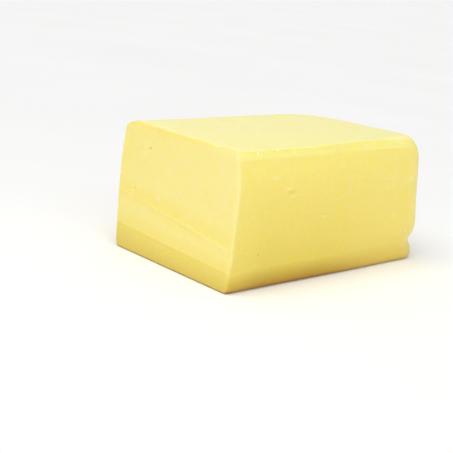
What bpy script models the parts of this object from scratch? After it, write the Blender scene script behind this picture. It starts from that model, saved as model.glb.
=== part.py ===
"""A block of pizza mozzarella: a moulded loaf with one end cut off square.

The block lies on its flat foot. +X runs along the loaf from the cut end to the
moulded end, +Y points to its back, and +Z is up. The origin is the middle of
the foot. Sizes are in metres.

A box is cut into a lattice of faces and its points are then moved by a few
rules, one for each thing that shaped the cheese: the mould's rounded rims and
corners, the sag of the soft sides, the wrap's groove, the wire that cut the
end, and a dent.
"""

import math

import bmesh
import bpy
import numpy as np

NAME = "cheese_block"
COLLECTION = "mozzarella_block"

# The box that the loaf fills before its soft sides belly out.
LENGTH = 0.2210
WIDTH = 0.121
HEIGHT = 0.100

# Rounded rims. Each pair is how far the rounding reaches in across the flat
# face and how far it reaches along the side. "Near" is at the cut end. The end's
# own rim sets the reach in the last fifth of the length.
CUT_RIM = (0.0014, 0.0028)
FRONT_RIM_NEAR = (0.0010, 0.0014)
FRONT_RIM_FAR = (0.0117, 0.0158)
FRONT_RIM_GROWS_OVER = 0.070
BACK_RIM_NEAR = (0.0178, 0.0079)
BACK_RIM_FAR = (0.0139, 0.0089)
END_RIM = (0.0153, 0.0194)
END_RIM_RULES_OVER = (0.8, 1.0)
FOOT_RIM = (0.0035, 0.0060)

# How much nearer the cut the moulded end lies at the back than in front.
END_SKEW = 0.0179

# Upright corners of the moulded end: radius at the foot and at the top.
FRONT_CORNER = (0.0173, 0.0268)
BACK_CORNER = (0.0260, 0.0467)

# The front's top edge is a band that leans back from its sharp lower line. It is
# narrow and steep near the cut, and grows into a wide bevel over two stretches
# of X, first leaning further back and then reaching further down. It fades into
# the rounded corner of the moulded end over a third.
BAND_HEIGHT = (0.0058, 0.0064)
BAND_TOP_IN = (0.0007, 0.0060)
BAND_LINE_OUT = 0.0006
BAND_LEANS_OVER = (-0.038, 0.040)
BAND_DEEPENS_OVER = (0.0, 0.090)
BAND_FADES_OVER = (0.066, 0.106)

# Sag of the sides: how far they stand out, and over what drop they get there. The
# front swells less the nearer it is to the moulded end.
FRONT_BELLY = (0.0040, 0.0026)
FRONT_BELLY_EASES_OVER = (0.010, 0.090)
BACK_BELLY = 0.0020
BELLY_DROP = 0.033
END_BELLY = 0.0053
END_BELLY_DROP = HEIGHT

# Below the crest the sides tuck in again towards the foot.
CREST_HEIGHT = 0.0345
CREST_SWELL = 0.0004
CREST_WIDTH = 0.0050
TUCK = 0.0018
TUCK_DROP = 0.026

# The groove round the moulded end, which fades out along both long sides.
GROOVE_HEIGHT = 0.0163
GROOVE_WIDTH = 0.0058
GROOVE_DEPTH = 0.0026
GROOVE_STARTS = -0.020
GROOVE_FULL = 0.080

# The cut end: it steps back in two facets below a low ridge. The ridge and the
# valley between the facets run uphill towards the back, the ridge more steeply.
RIDGE_HEIGHT = 0.0384
RIDGE_WIDTH = 0.0016
RIDGE_SWELL = 0.0003
VALLEY_HEIGHT = 0.0177
UPPER_FACET_STEP = 0.0006
LOWER_FACET_STEP = 0.0011
VALLEY_TILT = 0.035
RIDGE_TILT = 0.112
TILT_FADES = 0.060
CUT_RELIEF_DEPTH = 0.030

# The dent in the front: place along X, height, half width and half height.
DENT_PLACE = (-0.0577, 0.0690)
DENT_HALF_SIZE = (0.0060, 0.0026)
DENT_DEPTH = 0.0006
DENT_TILT = math.radians(1.0)

# The top rises a little towards the moulded end.
TOP_RISE = 0.0021

# Spacing of the lattice where the surface is plain.
COARSE_STEP = 0.0165
ARC_STEPS = 4

CHEESE_COLOR = (0.93, 0.80, 0.30, 1.0)
CHEESE_ROUGHNESS = 0.48


def clear_scene():
    for scene_object in list(bpy.data.objects):
        bpy.data.objects.remove(scene_object, do_unlink=True)


def smooth_step(share):
    """Rises from 0 to 1 with level ends, as a share goes from 0 to 1."""
    share = np.clip(share, 0.0, 1.0)
    return share * share * (3.0 - 2.0 * share)


def levelled(share):
    """Rises from 0 at its fastest and levels off at 1, as a share goes from 0 to 1."""
    return 1.0 - (1.0 - np.clip(share, 0.0, 1.0)) ** 2


def bump(distance, width):
    """A round hump that is 1 at no distance and fades over the width."""
    return np.exp(-((distance / width) ** 2))


def between(pair, share):
    """The value a share of the way from the first of a pair to the second."""
    return pair[0] + (pair[1] - pair[0]) * share


def grown(place, stretch):
    """Rises smoothly from 0 to 1 as a place goes along a stretch."""
    return smooth_step((place - stretch[0]) / (stretch[1] - stretch[0]))


def arc_stations(edge, radius, inward):
    """Lattice lines that divide a quarter round beside an edge into equal angles."""
    angles = np.linspace(0.0, math.radians(45.0), ARC_STEPS + 1)
    return list(edge + inward * radius * (1.0 - np.tan(angles)))


def around(place, half_size):
    """Lattice lines that carry a small dent: its middle and both its flanks."""
    return [place + half_size * share for share in (-1.7, -0.8, 0.0, 0.8, 1.7)]


def spread(low, high, fixed):
    """Fills the gaps between fixed lattice lines with even steps."""
    merge_gap = 0.0009
    lines = [low]
    for line in sorted(fixed) + [high]:
        if line - lines[-1] < merge_gap and line < high:
            continue
        if high - line < merge_gap and line < high:
            continue
        steps = max(1, math.ceil((line - lines[-1]) / COARSE_STEP - 0.3))
        start = lines[-1]
        lines += [start + (line - start) * step / steps for step in range(1, steps + 1)]
    return lines[1:-1]


def lattice_lines():
    """Where the box is divided along X, Y and Z."""
    half_length = LENGTH / 2
    half_width = WIDTH / 2
    along = arc_stations(half_length, BACK_CORNER[1], -1) + arc_stations(half_length, END_RIM[0], -1)
    along += [-half_length + CUT_RIM[1] * share for share in (0.25, 0.6, 1.0)]
    along += around(DENT_PLACE[0], DENT_HALF_SIZE[0])
    across = arc_stations(-half_width, FRONT_CORNER[1], 1) + arc_stations(half_width, BACK_CORNER[1], -1)
    across += arc_stations(half_width, BACK_RIM_NEAR[0], -1)
    across += [-half_width + FRONT_RIM_NEAR[0], half_width - CUT_RIM[0]]
    upward = arc_stations(HEIGHT, BACK_RIM_NEAR[1], -1) + arc_stations(0.0, FOOT_RIM[1], 1)
    upward += [HEIGHT - FRONT_RIM_NEAR[1], HEIGHT - BAND_HEIGHT[0], HEIGHT - FRONT_RIM_FAR[1]]
    upward += [HEIGHT - BELLY_DROP / 2, HEIGHT - BELLY_DROP]
    upward += [VALLEY_HEIGHT - GROOVE_WIDTH, VALLEY_HEIGHT, VALLEY_HEIGHT + GROOVE_WIDTH]
    upward += [RIDGE_HEIGHT - CREST_WIDTH, RIDGE_HEIGHT - RIDGE_WIDTH, RIDGE_HEIGHT]
    upward += [RIDGE_HEIGHT + RIDGE_WIDTH, RIDGE_HEIGHT + CREST_WIDTH]
    upward += around(DENT_PLACE[1], DENT_HALF_SIZE[1])
    return (
        spread(-half_length, half_length, along),
        spread(-half_width, half_width, across),
        spread(0.0, HEIGHT, upward),
    )


def lattice_box():
    """A box standing on its foot, divided by planes into a lattice of faces."""
    box = bmesh.new()
    bmesh.ops.create_cube(box, size=1.0)
    bmesh.ops.scale(box, vec=(LENGTH, WIDTH, HEIGHT), verts=box.verts)
    bmesh.ops.translate(box, vec=(0.0, 0.0, HEIGHT / 2), verts=box.verts)
    for axis, lines in enumerate(lattice_lines()):
        normal = [0.0, 0.0, 0.0]
        normal[axis] = 1.0
        for line in lines:
            point = [0.0, 0.0, 0.0]
            point[axis] = line
            everything = box.verts[:] + box.edges[:] + box.faces[:]
            bmesh.ops.bisect_plane(box, geom=everything, plane_co=point, plane_no=normal)
    return box


def round_corner(first, second):
    """Draws the square rings of a corner onto quarter rounds.

    Both shares are 0 where the corner starts and 1 on the box. A point keeps its
    ring, the larger share, and moves along its ray to that distance.
    """
    ring = np.maximum(first, second)
    reach = np.hypot(first, second)
    in_corner = (first > 0.0) & (second > 0.0)
    factor = np.where(in_corner, ring / np.maximum(reach, 1e-9), 1.0)
    return first * factor, second * factor, in_corner


def move_ring(value, low, high, low_rim, high_rim, depth, new_depth):
    """Moves a point with its ring, from one depth inside a box's sides to another.

    The box is inset by a share of each side's rim, and the point keeps its place
    between the two inset sides.
    """
    old_low = low + low_rim * depth
    old_high = high - high_rim * depth
    new_low = low + low_rim * new_depth
    new_high = high - high_rim * new_depth
    share = (value - old_low) / (old_high - old_low)
    return new_low + share * (new_high - new_low)


def round_cut_rim(x, y, z):
    """Breaks the sharp outline that the wire left round the cut end."""
    half_width = WIDTH / 2
    rim, reach = CUT_RIM
    inside = np.minimum.reduce([half_width - y, half_width + y, HEIGHT - z, z])
    depth = np.clip(inside / rim, 0.0, 1.0)
    outward = np.clip((reach - LENGTH / 2 - x) / reach, 0.0, 1.0)
    outward, ring, moved = round_corner(outward, 1.0 - depth)
    new_y = move_ring(y, -half_width, half_width, rim, rim, depth, 1.0 - ring)
    new_z = move_ring(z, 0.0, HEIGHT, rim, rim, depth, 1.0 - ring)
    new_x = reach - LENGTH / 2 - reach * outward
    return np.where(moved, new_x, x), np.where(moved, new_y, y), np.where(moved, new_z, z)


def round_level_rim(x, y, z, height_left, front_rim, back_rim, end_rim):
    """Rounds the rim round the top or the foot, and gives the new height left.

    Each rim is (in, along the side). The cut end has no such rim.
    """
    half_width = WIDTH / 2
    half_length = LENGTH / 2
    depth = np.minimum.reduce([
        (half_width + y) / front_rim[0],
        (half_width - y) / back_rim[0],
        (half_length - x) / end_rim[0],
    ])
    depth = np.clip(depth, 0.0, 1.0)
    outward = 1.0 - depth
    upward = np.clip(1.0 - height_left / end_rim[1], 0.0, 1.0)
    outward, upward, moved = round_corner(outward, upward)
    new_y = move_ring(y, -half_width, half_width, front_rim[0], back_rim[0], depth, 1.0 - outward)
    new_x = move_ring(x, -half_length, half_length, 0.0, end_rim[0], depth, 1.0 - outward)
    new_height_left = end_rim[1] * (1.0 - upward)
    return np.where(moved, new_x, x), np.where(moved, new_y, y), np.where(moved, new_height_left, height_left)


def round_top(x, y, z):
    """Rounds the mould's top rim, tight in front and wide at the back and end."""
    along = np.clip(x / LENGTH + 0.5, 0.0, 1.0)
    across = np.clip(y / WIDTH + 0.5, 0.0, 1.0)
    widened = grown(x, (LENGTH / 2 - FRONT_RIM_GROWS_OVER, LENGTH / 2))
    front_in, front_down = (between((FRONT_RIM_NEAR[i], FRONT_RIM_FAR[i]), widened) for i in (0, 1))
    back_in, back_down = (between((BACK_RIM_NEAR[i], BACK_RIM_FAR[i]), along) for i in (0, 1))
    mid_end = 4.0 * across * (1.0 - across)
    end_in = between((between((front_in, back_in), across), END_RIM[0]), mid_end)
    end_share = grown(along, END_RIM_RULES_OVER) * mid_end
    down = between((between((front_down, back_down), across), END_RIM[1]), end_share)
    front_rim = (front_in, down)
    back_rim = (back_in, down)
    x, y, height_left = round_level_rim(x, y, z, HEIGHT - z, front_rim, back_rim, (end_in, down))
    return x, y, HEIGHT - height_left


def round_foot(x, y, z):
    """Rounds the edge round the foot."""
    return round_level_rim(x, y, z, z, FOOT_RIM, FOOT_RIM, FOOT_RIM)


def round_end_corners(x, y, z):
    """Rounds the two upright corners of the moulded end."""
    for side, radii in ((-1.0, FRONT_CORNER), (1.0, BACK_CORNER)):
        radius = between(radii, smooth_step(z / HEIGHT))
        along = np.clip((x - (LENGTH / 2 - radius)) / radius, 0.0, 1.0)
        across = np.clip((side * y - (WIDTH / 2 - radius)) / radius, 0.0, 1.0)
        along, across, moved = round_corner(along, across)
        x = np.where(moved, LENGTH / 2 - radius + radius * along, x)
        y = np.where(moved, side * (WIDTH / 2 - radius + radius * across), y)
    return x, y, z


def skew_end(x, y, z):
    """Turns the moulded end a little, so that it isn't quite parallel to the cut."""
    along = np.clip(x / LENGTH + 0.5, 0.0, 1.0)
    across = np.clip(y / WIDTH + 0.5, 0.0, 1.0)
    return x - END_SKEW * along * across, y, z


def deepen_band(x, y, z):
    """Lowers the band's line where the band grows, drawing the front down with it."""
    across = np.clip(y / WIDTH + 0.5, 0.0, 1.0)
    drop = HEIGHT - z
    line_drop = BAND_HEIGHT[0]
    below_line = smooth_step((drop - line_drop) / (BELLY_DROP - line_drop))
    follows = np.clip(drop / line_drop, 0.0, 1.0) * (1.0 - below_line) * (1.0 - across)
    return x, y, z - (BAND_HEIGHT[1] - line_drop) * grown(x, BAND_DEEPENS_OVER) * follows


def sag_sides(x, y, z):
    """Lets the sides belly out, tuck in towards the foot and take the groove.

    The front's and back's swell is shared out across the width, and the end's
    along the length, so that every point between them follows.
    """
    across = np.clip(y / WIDTH + 0.5, 0.0, 1.0)
    along = np.clip(x / LENGTH + 0.5, 0.0, 1.0)
    drop = HEIGHT - z
    groove = GROOVE_DEPTH * bump(z - GROOVE_HEIGHT, GROOVE_WIDTH)
    side_groove = groove * smooth_step((x - GROOVE_STARTS) / (GROOVE_FULL - GROOVE_STARTS))
    band_height = between(BAND_HEIGHT, grown(x, BAND_DEEPENS_OVER))
    band_in = between(BAND_TOP_IN, grown(x, BAND_LEANS_OVER)) * (1.0 - grown(x, BAND_FADES_OVER))
    band = np.clip(drop / band_height, 0.0, 1.0) * (BAND_LINE_OUT + band_in) - band_in
    belly = between(FRONT_BELLY, grown(x, FRONT_BELLY_EASES_OVER))
    front_belly = belly * levelled((drop - band_height) / (BELLY_DROP - band_height))
    tuck = TUCK * smooth_step((CREST_HEIGHT - z) / TUCK_DROP)
    crest = CREST_SWELL * bump(z - CREST_HEIGHT, CREST_WIDTH)
    front = band + front_belly - tuck + crest - side_groove
    back = BACK_BELLY * smooth_step(drop / BELLY_DROP) - side_groove
    end = END_BELLY * smooth_step(drop / END_BELLY_DROP) - groove
    return x + end * along**3, y - front * (1.0 - across) + back * across, z


def face_cut_end(x, y, z):
    """Gives the cut end its low ridge and its two facets that step back below it."""
    near = smooth_step(1.0 - (x + LENGTH / 2) / CUT_RELIEF_DEPTH)
    below_ridge = np.clip((RIDGE_HEIGHT - z) / (RIDGE_HEIGHT - VALLEY_HEIGHT), 0.0, 1.0)
    below_valley = np.clip((VALLEY_HEIGHT - z) / VALLEY_HEIGHT, 0.0, 1.0)
    back = UPPER_FACET_STEP * below_ridge + LOWER_FACET_STEP * below_valley
    back = back - RIDGE_SWELL * bump(z - RIDGE_HEIGHT, RIDGE_WIDTH)
    tilt = VALLEY_TILT + (RIDGE_TILT - VALLEY_TILT) * (1.0 - below_ridge)
    held = smooth_step(z / VALLEY_HEIGHT) * smooth_step((HEIGHT - z) / TILT_FADES)
    return x + back * near, y, z + tilt * y * held * near


def press_dent(x, y, z):
    """Presses one shallow dent into the front."""
    along = x - DENT_PLACE[0]
    up = z - DENT_PLACE[1]
    turned_along = along * math.cos(DENT_TILT) + up * math.sin(DENT_TILT)
    turned_up = up * math.cos(DENT_TILT) - along * math.sin(DENT_TILT)
    hollow = bump(turned_along, DENT_HALF_SIZE[0]) * bump(turned_up, DENT_HALF_SIZE[1])
    front = smooth_step(-2.0 * y / WIDTH)
    return x, y + DENT_DEPTH * hollow * front, z


def raise_top(x, y, z):
    """Lifts the upper half a little more the nearer it is to the moulded end."""
    along = smooth_step(x / LENGTH + 0.5)
    return x, y, z + TOP_RISE * along * smooth_step(2.0 * z / HEIGHT - 1.0)


def shape_block(points):
    """Moves the box's points onto the cheese, and centres the result on Z."""
    x, y, z = points.T
    rules = (
        round_cut_rim, round_top, round_foot, round_end_corners,
        skew_end, deepen_band, sag_sides, face_cut_end, press_dent, raise_top,
    )
    for rule in rules:
        x, y, z = rule(x, y, z)
    x = x - (x.min() + x.max()) / 2
    y = y - (y.min() + y.max()) / 2
    return np.stack([x, y, z], axis=1)


def cheese_material():
    material = bpy.data.materials.new("cheese")
    material.use_nodes = True
    surface = material.node_tree.nodes["Principled BSDF"]
    surface.inputs["Base Color"].default_value = CHEESE_COLOR
    surface.inputs["Roughness"].default_value = CHEESE_ROUGHNESS
    surface.inputs["Metallic"].default_value = 0.0
    return material


def build_block(collection):
    box = lattice_box()
    points = np.array([vertex.co[:] for vertex in box.verts])
    for vertex, place in zip(box.verts, shape_block(points)):
        vertex.co = place
    level = 1e-6
    foot = [face for face in box.faces if max(vertex.co.z for vertex in face.verts) < level]
    bmesh.ops.dissolve_faces(box, faces=foot, use_verts=False)
    mesh = bpy.data.meshes.new(NAME)
    box.to_mesh(mesh)
    box.free()
    mesh.shade_smooth()
    mesh.set_sharp_from_angle(angle=math.radians(40.0))
    mesh.materials.append(cheese_material())
    block = bpy.data.objects.new(NAME, mesh)
    collection.objects.link(block)


def main():
    clear_scene()
    collection = bpy.data.collections.new(COLLECTION)
    bpy.context.scene.collection.children.link(collection)
    build_block(collection)


main()
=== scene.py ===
"""A block of pizza mozzarella on a pale studio floor.

The cheese is one closed surface. It starts as the lattice of a box and is moved
by the rules that shaped the real loaf: the mould's rims and corners, the sag of
the soft sides, the wire that cut the end, and the small marks in its skin. All
sizes are in metres, with +X from the cut end to the moulded end and +Z up.
"""

import math

import bpy
import numpy as np
from mathutils import Euler, Matrix, Vector


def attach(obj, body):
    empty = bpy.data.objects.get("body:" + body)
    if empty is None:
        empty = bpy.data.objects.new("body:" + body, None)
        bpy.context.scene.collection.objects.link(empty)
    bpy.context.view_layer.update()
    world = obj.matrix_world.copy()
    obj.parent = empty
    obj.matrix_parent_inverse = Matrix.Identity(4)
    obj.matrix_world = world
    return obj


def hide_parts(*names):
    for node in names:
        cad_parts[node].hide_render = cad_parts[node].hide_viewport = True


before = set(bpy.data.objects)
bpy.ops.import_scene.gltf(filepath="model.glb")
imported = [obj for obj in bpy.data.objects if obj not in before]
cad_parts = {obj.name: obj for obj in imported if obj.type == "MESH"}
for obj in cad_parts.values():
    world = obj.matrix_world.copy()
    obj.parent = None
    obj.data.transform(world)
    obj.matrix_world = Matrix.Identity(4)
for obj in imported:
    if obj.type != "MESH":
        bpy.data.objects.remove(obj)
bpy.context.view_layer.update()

# --- The loaf, in the same named sizes as its solid ---------------------------

# The box that the loaf fills before its soft sides belly out.
LENGTH = 0.2210
WIDTH = 0.121
HEIGHT = 0.100

# Rounded rims. Each pair is how far the rounding reaches in across the flat
# face and how far it reaches along the side. "Near" is at the cut end. The end's
# own rim sets the reach in the last fifth of the length.
CUT_RIM = (0.0014, 0.0028)
FRONT_RIM_NEAR = (0.0010, 0.0014)
FRONT_RIM_FAR = (0.0117, 0.0158)
FRONT_RIM_GROWS_OVER = 0.070
BACK_RIM_NEAR = (0.0178, 0.0079)
BACK_RIM_FAR = (0.0139, 0.0089)
END_RIM = (0.0153, 0.0194)
END_RIM_RULES_OVER = (0.8, 1.0)
FOOT_RIM = (0.0035, 0.0060)

# How much nearer the cut the moulded end lies at the back than in front.
END_SKEW = 0.0179

# Upright corners of the moulded end: radius at the foot and at the top.
FRONT_CORNER = (0.0173, 0.0268)
BACK_CORNER = (0.0260, 0.0467)

# The front's top edge is a band that leans back from its sharp lower line. It is
# narrow and steep near the cut, and grows into a wide bevel over two stretches
# of X, first leaning further back and then reaching further down. It fades into
# the rounded corner of the moulded end over a third.
BAND_HEIGHT = (0.0058, 0.0064)
BAND_TOP_IN = (0.0007, 0.0060)
BAND_LINE_OUT = 0.0006
BAND_LEANS_OVER = (-0.038, 0.040)
BAND_DEEPENS_OVER = (0.0, 0.090)
BAND_FADES_OVER = (0.066, 0.106)

# Sag of the sides: how far they stand out, and over what drop they get there. The
# front swells less the nearer it is to the moulded end.
FRONT_BELLY = (0.0040, 0.0026)
FRONT_BELLY_EASES_OVER = (0.010, 0.090)
BACK_BELLY = 0.0020
BELLY_DROP = 0.033
END_BELLY = 0.0053
END_BELLY_DROP = HEIGHT

# Below the crest the sides tuck in again towards the foot.
CREST_HEIGHT = 0.0345
CREST_SWELL = 0.0004
CREST_WIDTH = 0.0050
TUCK = 0.0018
TUCK_DROP = 0.026

# The groove round the moulded end, which fades out along both long sides.
GROOVE_HEIGHT = 0.0163
GROOVE_WIDTH = 0.0058
GROOVE_DEPTH = 0.0026
GROOVE_STARTS = -0.020
GROOVE_FULL = 0.080

# The cut end: it steps back in two facets below a low ridge. The ridge and the
# valley between the facets run uphill towards the back, the ridge more steeply.
RIDGE_HEIGHT = 0.0384
RIDGE_WIDTH = 0.0016
RIDGE_SWELL = 0.0003
VALLEY_HEIGHT = 0.0177
UPPER_FACET_STEP = 0.0006
LOWER_FACET_STEP = 0.0011
VALLEY_TILT = 0.035
RIDGE_TILT = 0.112
TILT_FADES = 0.060
CUT_RELIEF_DEPTH = 0.030

# The top rises a little towards the moulded end.
TOP_RISE = 0.0021

# --- Finer relief, which only the visible surface has --------------------------

# The crease where the top skin meets the front's band.
TOP_CREASE_DROP = 0.0011
TOP_CREASE_WIDTH = 0.0005
TOP_CREASE_DEPTH = 0.00030
TOP_CREASE_STARTS_OVER = (-0.102, -0.078)
TOP_CREASE_ENDS_OVER = (0.080, 0.105)

# Dents (sunk more than 0) and smears that stand out (less than 0) in the front:
# (place along X, height, half width, half height, sunk, turn in degrees).
FRONT_MARKS = (
    (-0.0578, 0.0696, 0.0036, 0.0009, 0.00080, 1.0),
    (-0.0542, 0.0703, 0.0015, 0.0008, 0.00032, 22.0),
    (-0.0612, 0.0723, 0.0030, 0.0009, -0.00042, 0.0),
    (-0.0556, 0.0670, 0.0032, 0.0010, -0.00036, 0.0),
    (-0.0193, 0.0512, 0.0022, 0.0010, 0.00065, -4.0),
    (-0.0185, 0.0490, 0.0032, 0.0012, -0.00026, -4.0),
    (0.0226, 0.0742, 0.0022, 0.0009, 0.00045, -6.0),
    (-0.0764, 0.0810, 0.0050, 0.0011, -0.00032, 2.0),
    (-0.0620, 0.0855, 0.0024, 0.0009, -0.00018, 0.0),
    (0.0840, 0.0694, 0.0064, 0.0028, -0.00024, 4.0),
    (0.0550, 0.0720, 0.0075, 0.0012, -0.00020, 4.0),
    (0.0410, 0.0738, 0.0050, 0.0010, -0.00016, -4.0),
    (0.0610, 0.0660, 0.0080, 0.0011, -0.00014, 8.0),
    (0.0675, 0.0411, 0.0030, 0.0013, -0.00024, 0.0),
    (-0.1020, 0.0537, 0.0012, 0.0010, 0.00030, 0.0),
    (-0.0850, 0.0190, 0.0022, 0.0011, -0.00022, -8.0),
)

# The same in the cut end, placed along Y.
CUT_MARKS = (
    (0.0300, 0.0821, 0.00115, 0.00085, 0.00095, 0.0),
    (0.0428, 0.0450, 0.0012, 0.0007, 0.00045, -10.0),
    (0.0436, 0.0434, 0.0016, 0.0008, -0.00022, -10.0),
    (0.0335, 0.0772, 0.0026, 0.0020, -0.00020, 0.0),
    (0.0160, 0.0470, 0.0020, 0.0012, -0.00018, 0.0),
    (0.0148, 0.0550, 0.0016, 0.0010, -0.00016, 0.0),
)

# Lattice lines are set closely over three dents in the front and a hole in the cut.
DENTS = (FRONT_MARKS[0], FRONT_MARKS[4], FRONT_MARKS[6])
HOLE = CUT_MARKS[0]

# Specks in the skin, with painted glints and painted shade among them: (side, place
# along it, height, radius, colour). The sides are "front", placed along X, and
# "cut", placed along Y. The specks on the front's top edge are painted glints, and
# the dark ones in the cut's hole and its dent are painted shade.
SPECKS_GLINTS_AND_SHADES = (
    ("front", -0.0924, 0.0983, 0.0011, "white"),
    ("front", -0.0729, 0.0995, 0.0010, "white"),
    ("front", -0.0684, 0.0979, 0.0008, "pale"),
    ("front", -0.0856, 0.0181, 0.0012, "pale"),
    ("front", -0.0841, 0.0271, 0.0010, "dark"),
    ("front", -0.0801, 0.0343, 0.0012, "pale"),
    ("front", -0.0952, 0.0316, 0.0009, "pale"),
    ("front", 0.0671, 0.0415, 0.0016, "pale"),
    ("front", 0.0868, 0.0262, 0.0013, "white"),
    ("cut", 0.0299, 0.0823, 0.0011, "dark"),
    ("cut", 0.0303, 0.0799, 0.0009, "pale"),
    ("cut", 0.0428, 0.0450, 0.0009, "dark"),
    ("cut", 0.0435, 0.0433, 0.0010, "pale"),
)

# Marks strewn over the sides: (count, largest half width, largest depth, seed).
BACK_STREW = (22, 0.0050, 0.00045, 31)
END_STREW = (12, 0.0045, 0.00045, 32)
TOP_STREW = (26, 0.0040, 0.00022, 33)
# They keep clear of the edges: how far from the middle of the length or width they
# lie, and between which parts of the height.
STREW_SPREAD = 0.42
STREW_HEIGHTS = (0.12, 0.88)
# Their sizes and depths as parts of the largest, the height of an oval as a part of
# its width, the part of its depth by which every other one sinks and the rest stand
# out, and their turn in degrees.
STREW_SIZES = (0.25, 1.0)
STREW_DEPTHS = (0.3, 1.0)
STREW_FLATNESS = (0.3, 0.7)
STREW_SINKS = (0.6, -0.4)
STREW_TURNS = (-25.0, 25.0)

# How sharply a side's marks and streaks end where the surface turns away from it.
FACING_POWER = 4

# Unevenness: (size of the swells, height of the swells, seed).
SKIN_SWELLS = (
    (0.060, 0.00030, 11),
    (0.020, 0.00012, 12),
    (0.0065, 0.00004, 13),
)
# Fine chatter left by the cutting wire: (spacing, height, seed), how long its
# streaks are in spacings, and how steeply they climb towards the front.
WIRE_CHATTER = (0.0022, 0.00003, 21)
WIRE_STRETCH = 6.0
WIRE_SLANT = math.radians(24.0)
# Level streaks that the mould and the wrap left in the skin, likewise.
SKIN_STREAKS = (0.0020, 0.00002, 22)
SKIN_STRETCH = 5.0

# Lattice spacing where the surface is plain, and the least gap between two lines.
STEP_ALONG = 0.0020
STEP_ACROSS = 0.00105
STEP_UP = 0.00102
LEAST_GAP = 0.00025
# How many steps a quarter round takes on each side of its middle.
ARC_STEPS = 7
# Lines over a mark, in its half sizes, and over a ridge or crease, in its widths.
MARK_LINES = np.linspace(-1.6, 1.6, 9)
RIDGE_LINES = np.linspace(-1.5, 1.5, 5)
# Lines beside the line of the front's band and beside the valley.
BAND_LINES = np.array([-0.0004, 0.0, 0.0004])
VALLEY_LINES = np.array([-0.0010, -0.0005, 0.0, 0.0005, 0.0010])

NAME = "cheese_surface"


def smooth_step(share):
    """Rises from 0 to 1 with level ends: 3s^2 - 2s^3, with s held to 0..1."""
    share = np.clip(share, 0.0, 1.0)
    return share * share * (3.0 - 2.0 * share)


def levelled(share):
    """Rises from 0 at its fastest and levels off at 1: 1 - (1 - s)^2."""
    return 1.0 - (1.0 - np.clip(share, 0.0, 1.0)) ** 2


def bump(distance, width):
    """A round hump, exp(-(distance / width)^2)."""
    return np.exp(-((distance / width) ** 2))


def between(pair, share):
    """The value a share of the way from the first of a pair to the second."""
    return pair[0] + (pair[1] - pair[0]) * share


def grown(place, stretch):
    """Rises smoothly from 0 to 1 as a place goes along a stretch."""
    return smooth_step((place - stretch[0]) / (stretch[1] - stretch[0]))


# --- Lattice -------------------------------------------------------------------


def arc_stations(edge, radius, inward):
    """Lattice lines dividing a quarter round beside an edge into equal angles."""
    angles = np.linspace(0.0, math.radians(45.0), ARC_STEPS + 1)
    return edge + inward * radius * (1.0 - np.tan(angles))


def lines_over(mark):
    """Closely set lattice lines over a mark: along its side, and upwards."""
    place, height, half_width, half_height = mark[:4]
    return place + half_width * MARK_LINES, height + half_height * MARK_LINES


def filled(low, high, fixed, step):
    """Sorted lattice lines: the fixed ones, with even steps in the gaps between."""
    inner = np.sort(np.concatenate(fixed))
    inner = inner[(inner > low + LEAST_GAP) & (inner < high - LEAST_GAP)]
    kept = inner[np.concatenate(([True], np.diff(inner) > LEAST_GAP))]
    ends = np.concatenate(([low], kept, [high]))
    runs = [
        np.linspace(start, stop, max(1, math.ceil((stop - start) / step)), endpoint=False)
        for start, stop in zip(ends[:-1], ends[1:])
    ]
    return np.concatenate(runs + [[high]])


def lattice_lines():
    """The lines along X, Y and Z, close together on rims, creases and marks."""
    half_length = LENGTH / 2
    half_width = WIDTH / 2
    dent_along = lines_over(DENTS[0])[0]
    dents_up = [lines_over(dent)[1] for dent in DENTS]
    hole_across, hole_up = lines_over(HOLE)
    along = [
        arc_stations(-half_length, CUT_RIM[1], 1),
        arc_stations(half_length, END_RIM[0], -1),
        dent_along,
    ]
    across = [
        arc_stations(-half_width, CUT_RIM[0], 1),
        arc_stations(half_width, CUT_RIM[0], -1),
        arc_stations(half_width, BACK_RIM_NEAR[0], -1),
        hole_across,
    ]
    upward = [
        arc_stations(HEIGHT, CUT_RIM[0], -1),
        arc_stations(0.0, FOOT_RIM[1], 1),
        HEIGHT - TOP_CREASE_DROP + TOP_CREASE_WIDTH * RIDGE_LINES,
        HEIGHT - BAND_HEIGHT[0] + BAND_LINES,
        RIDGE_HEIGHT + RIDGE_WIDTH * RIDGE_LINES,
        VALLEY_HEIGHT + VALLEY_LINES,
        *dents_up,
        hole_up,
    ]
    return (
        filled(-half_length, half_length, along, STEP_ALONG),
        filled(-half_width, half_width, across, STEP_ACROSS),
        filled(0.0, HEIGHT, upward, STEP_UP),
    )


def side_quads(first, second, number, flip):
    """Quads of one side's grid, as four point numbers each, facing outwards.

    first and second count the side's lines both ways, and number gives the points
    where they cross their numbers in the whole lattice.
    """
    row, column = np.meshgrid(np.arange(first - 1), np.arange(second - 1), indexing="ij")
    corners = [
        number(row, column),
        number(row + 1, column),
        number(row + 1, column + 1),
        number(row, column + 1),
    ]
    if flip:
        corners.reverse()
    return np.stack([corner.ravel() for corner in corners], axis=1)


def box_lattice(along, across, upward):
    """Points and quads of a box's surface, its six grids sharing their edge points.

    A point's number is its three line numbers read as one, so that neighbouring
    grids give their common points the same number.
    """
    nx, ny, nz = len(along), len(across), len(upward)

    def number(i, j, k):
        return (i * ny + j) * nz + k

    quads = np.concatenate([
        side_quads(nx, ny, lambda i, j: number(i, j, 0), True),
        side_quads(nx, ny, lambda i, j: number(i, j, nz - 1), False),
        side_quads(nx, nz, lambda i, k: number(i, 0, k), False),
        side_quads(nx, nz, lambda i, k: number(i, ny - 1, k), True),
        side_quads(ny, nz, lambda j, k: number(0, j, k), True),
        side_quads(ny, nz, lambda j, k: number(nx - 1, j, k), False),
    ])
    used, quads = np.unique(quads, return_inverse=True)
    points = np.stack([along[used // (ny * nz)], across[used // nz % ny], upward[used % nz]], axis=1)
    return points, quads.reshape(-1, 4)


# --- Rules that shape the loaf ---------------------------------------------------


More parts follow.
